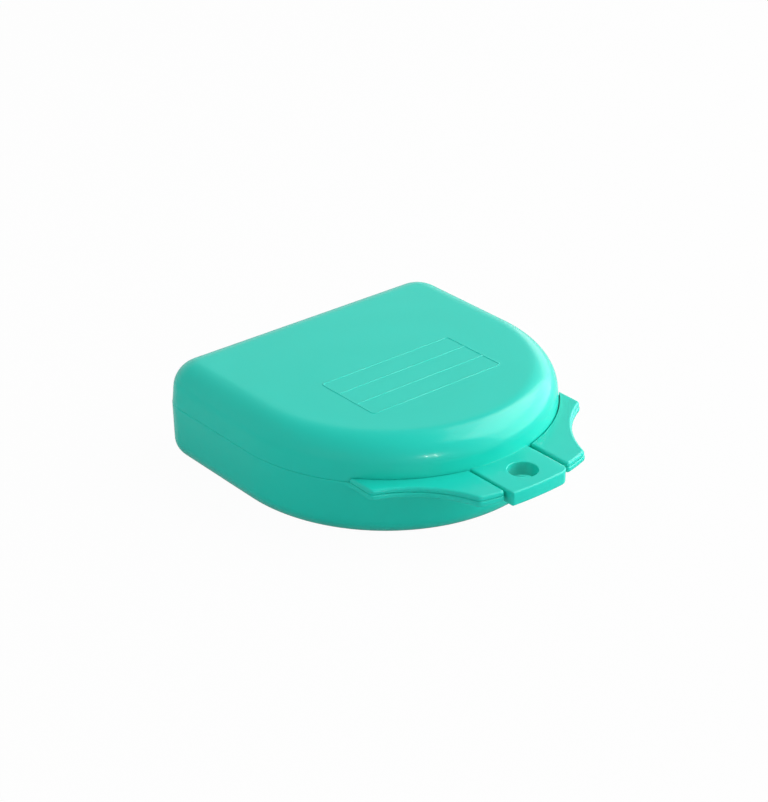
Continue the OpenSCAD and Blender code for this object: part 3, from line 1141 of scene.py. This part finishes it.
def studio_floor(studio):
    """A pale floor that shows as white, with a light shadow and a deeper one in the box's gloss."""
    reach = 1.5
    sunk = 0.05 * MM
    bm = bmesh.new()
    bmesh.ops.create_grid(bm, x_segments=1, y_segments=1, size=reach)
    bmesh.ops.translate(bm, verts=bm.verts, vec=(0, 0, -sunk))
    mesh = mesh_of(bm, "floor")
    material = bpy.data.materials.new("floor")
    material.use_nodes = True
    material.node_tree.nodes.clear()
    graph = NodeGraph(material.node_tree)
    matt = graph.out("ShaderNodeBsdfDiffuse", {"Color": (FLOOR_GREY, FLOOR_GREY, FLOOR_GREY, 1)})
    white = graph.out("ShaderNodeEmission", {"Color": (1, 1, 1, 1)})
    mirrored = graph.add("ShaderNodeLightPath").outputs["Is Glossy Ray"]
    in_gloss = graph.math("MULTIPLY", mirrored, studio.mirrored_shadow)
    shade = graph.math("MAXIMUM", in_gloss, studio.shadow)
    seen = graph.out("ShaderNodeMixShader", {0: shade, 1: white, 2: matt})
    both = graph.out("ShaderNodeMixShader", {0: seen_rays(graph), 1: matt, 2: seen})
    graph.add("ShaderNodeOutputMaterial", {"Surface": both})
    mesh.materials.append(material)
    floor = stand("floor", mesh)


def studio_world(studio):
    """A sky that grows darker upwards and shows as plain white, in the box's gloss too."""
    world = bpy.data.worlds.new("studio")
    world.use_nodes = True
    world.node_tree.nodes.clear()
    graph = NodeGraph(world.node_tree)
    way = graph.add("ShaderNodeTexCoord").outputs["Generated"]
    height = graph.add("ShaderNodeSeparateXYZ", {0: way}).outputs["Z"]
    level = graph.out("ShaderNodeMapRange", {
        "Value": height, "To Min": studio.sky, "To Max": studio.zenith,
    })
    sky = graph.out("ShaderNodeBackground", {"Color": (1, 1, 1, 1), "Strength": level})
    white = graph.out("ShaderNodeBackground", {"Color": (1, 1, 1, 1)})
    both = graph.out("ShaderNodeMixShader", {0: seen_rays(graph), 1: sky, 2: white})
    graph.add("ShaderNodeOutputWorld", {"Surface": both})
    bpy.context.scene.world = world


class BOX_OT_studio(Operator):
    """Build the floor, the sky, the lamps and the camera"""

    bl_idname = "appliance_box.studio"
    bl_label = "Studio"

    def execute(self, context):
        studio = context.scene.box_studio
        aim = Vector((0, ARC_Y + studio.aim_back, studio.aim_height))
        context.scene.view_settings.view_transform = "Standard"
        studio_camera(studio, aim)
        studio_floor(studio)
        studio_world(studio)
        for name, *light in SOFTBOXES:
            soft_lamp(name, aim, *light)
        for name, azimuth, elevation, spot in GLINTS:
            spot = Vector((spot[0], ARC_Y + spot[1], spot[2]))
            soft_lamp(name, spot, azimuth, elevation, GLINT_SIZE, GLINT_RADIANCE,
                      "visible_diffuse")
        return {"FINISHED"}


class BOX_PT_panel(Panel):
    """The box's pieces and sizes in the sidebar"""

    bl_idname = "BOX_PT_panel"
    bl_label = "Appliance Box"
    bl_space_type = "VIEW_3D"
    bl_region_type = "UI"
    bl_category = "Appliance Box"

    def draw(self, context):
        for piece in PIECES:
            self.layout.operator(piece.bl_idname)
        for name, group in GROUPS.items():
            box = self.layout.box()
            box.label(text=group.__doc__)
            for key in group.__annotations__:
                box.prop(getattr(context.scene, name), key)


PIECES = (
    BOX_OT_studio,
    BOX_OT_base_tray,
    BOX_OT_grip_wings,
    BOX_OT_hinge_ears,
    BOX_OT_lid_shell,
    BOX_OT_latch_tab,
    BOX_OT_catch,
    BOX_OT_hinge_barrel,
    BOX_OT_hinge_pins,
    BOX_OT_name_field,
    BOX_OT_ejector_marks,
)
CLASSES = (*GROUPS.values(), *PIECES, BOX_PT_panel)


def register():
    for cls in CLASSES:
        bpy.utils.register_class(cls)
    for name, group in GROUPS.items():
        setattr(bpy.types.Scene, name, PointerProperty(type=group))


def unregister():
    for name in GROUPS:
        delattr(bpy.types.Scene, name)
    for cls in reversed(CLASSES):
        bpy.utils.unregister_class(cls)


def main():
    register()
    for piece in PIECES:
        group, name = piece.bl_idname.split(".")
        getattr(getattr(bpy.ops, group), name)()


if __name__ == "__main__":
    main()
